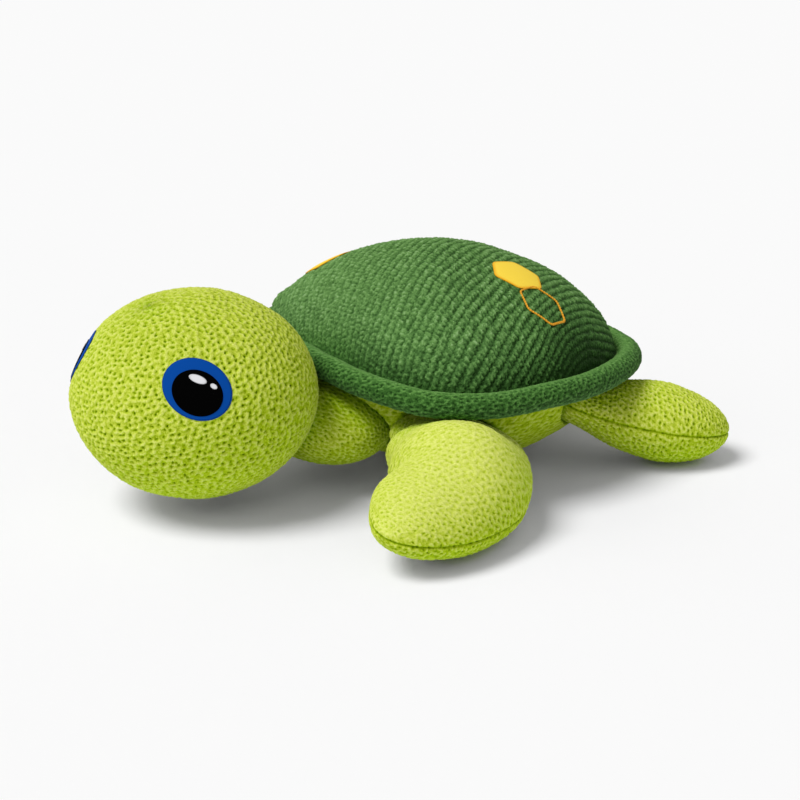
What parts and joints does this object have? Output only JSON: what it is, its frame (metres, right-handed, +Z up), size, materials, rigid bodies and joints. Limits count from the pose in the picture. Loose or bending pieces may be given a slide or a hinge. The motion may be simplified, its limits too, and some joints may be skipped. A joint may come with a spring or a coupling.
{
  "type": "plush sea turtle",
  "caption": "Knit plush sea turtle with a light green head, body and flippers under a dark green padded shell with a rolled rim.",
  "frame": {"origin": "middle of the flat under the belly, on the plane that the toy rests on", "axes": "+Z up from the belly to the shell, -Y towards the head, +X towards the turtle's left"},
  "size_m": [0.2982, 0.3159, 0.1076],
  "materials": {
    "light_knit": "matte",
    "dark_knit": "matte",
    "fibre_fill": "matte",
    "blue_felt": "matte",
    "black_felt": "matte",
    "white_felt": "matte",
    "yellow_felt": "matte",
    "orange_thread": "matte"
  },
  "bodies": {
    "trunk": {"body_cover": "light_knit", "body_filling": "fibre_fill", "shell_cover": "dark_knit", "shell_filling": "fibre_fill", "shell_base_panel": "dark_knit", "shell_rim_cover": "dark_knit", "shell_rim_filling": "fibre_fill", "left_filled_patch": "yellow_felt", "left_outline_patch": "orange_thread", "right_filled_patch": "yellow_felt", "right_outline_patch": "orange_thread"},
    "neck": {"neck_cover": "light_knit", "neck_filling": "fibre_fill"},
    "head": {"head_cover": "light_knit", "head_filling": "fibre_fill", "left_eye_iris": "blue_felt", "left_eye_pupil": "black_felt", "left_eye_large_glint": "white_felt", "left_eye_small_glint": "white_felt", "right_eye_iris": "blue_felt", "right_eye_pupil": "black_felt", "right_eye_large_glint": "white_felt", "right_eye_small_glint": "white_felt"},
    "front_left_flipper": {"front_left_flipper_top": "light_knit", "front_left_flipper_bottom": "light_knit", "front_left_flipper_filling": "fibre_fill"},
    "front_right_flipper": {"front_right_flipper_top": "light_knit", "front_right_flipper_bottom": "light_knit", "front_right_flipper_filling": "fibre_fill"},
    "rear_left_flipper": {"rear_left_flipper_top": "light_knit", "rear_left_flipper_bottom": "light_knit", "rear_left_flipper_filling": "fibre_fill"},
    "rear_right_flipper": {"rear_right_flipper_top": "light_knit", "rear_right_flipper_bottom": "light_knit", "rear_right_flipper_filling": "fibre_fill"}
  },
  "joints": [
    {"name": "neck_nod", "type": "hinge", "parent": "trunk", "child": "neck", "pos_m": [0.003, -0.0665, 0.0305], "axis": [1, 0, 0], "range_deg": [0, 20], "stiffness_Nm_per_rad": 0.7, "springref_deg": -5.73},
    {"name": "head_turn", "type": "hinge", "parent": "neck", "child": "head", "pos_m": [0.0111, -0.1464, 0.0558], "axis": [0, 0, 1], "range_deg": [-50, 30], "stiffness_Nm_per_rad": 0.15},
    {"name": "front_left_flap", "type": "hinge", "parent": "trunk", "child": "front_left_flipper", "pos_m": [0.0565, -0.0395, 0.0286], "axis": [0.1099, -0.9609, 0.2541], "range_deg": [-30, 6], "stiffness_Nm_per_rad": 0.12},
    {"name": "front_right_flap", "type": "hinge", "parent": "trunk", "child": "front_right_flipper", "pos_m": [-0.0565, -0.0395, 0.0286], "axis": [0.1099, 0.9609, -0.2541], "range_deg": [-30, 6], "stiffness_Nm_per_rad": 0.12},
    {"name": "rear_left_flap", "type": "hinge", "parent": "trunk", "child": "rear_left_flipper", "pos_m": [0.05, 0.0395, 0.034], "axis": [0.8645, -0.4979, 0.0693], "range_deg": [-25, 4], "stiffness_Nm_per_rad": 0.1},
    {"name": "rear_right_flap", "type": "hinge", "parent": "trunk", "child": "rear_right_flipper", "pos_m": [-0.05, 0.0395, 0.034], "axis": [0.8645, 0.4979, -0.0693], "range_deg": [-25, 4], "stiffness_Nm_per_rad": 0.1}
  ]
}
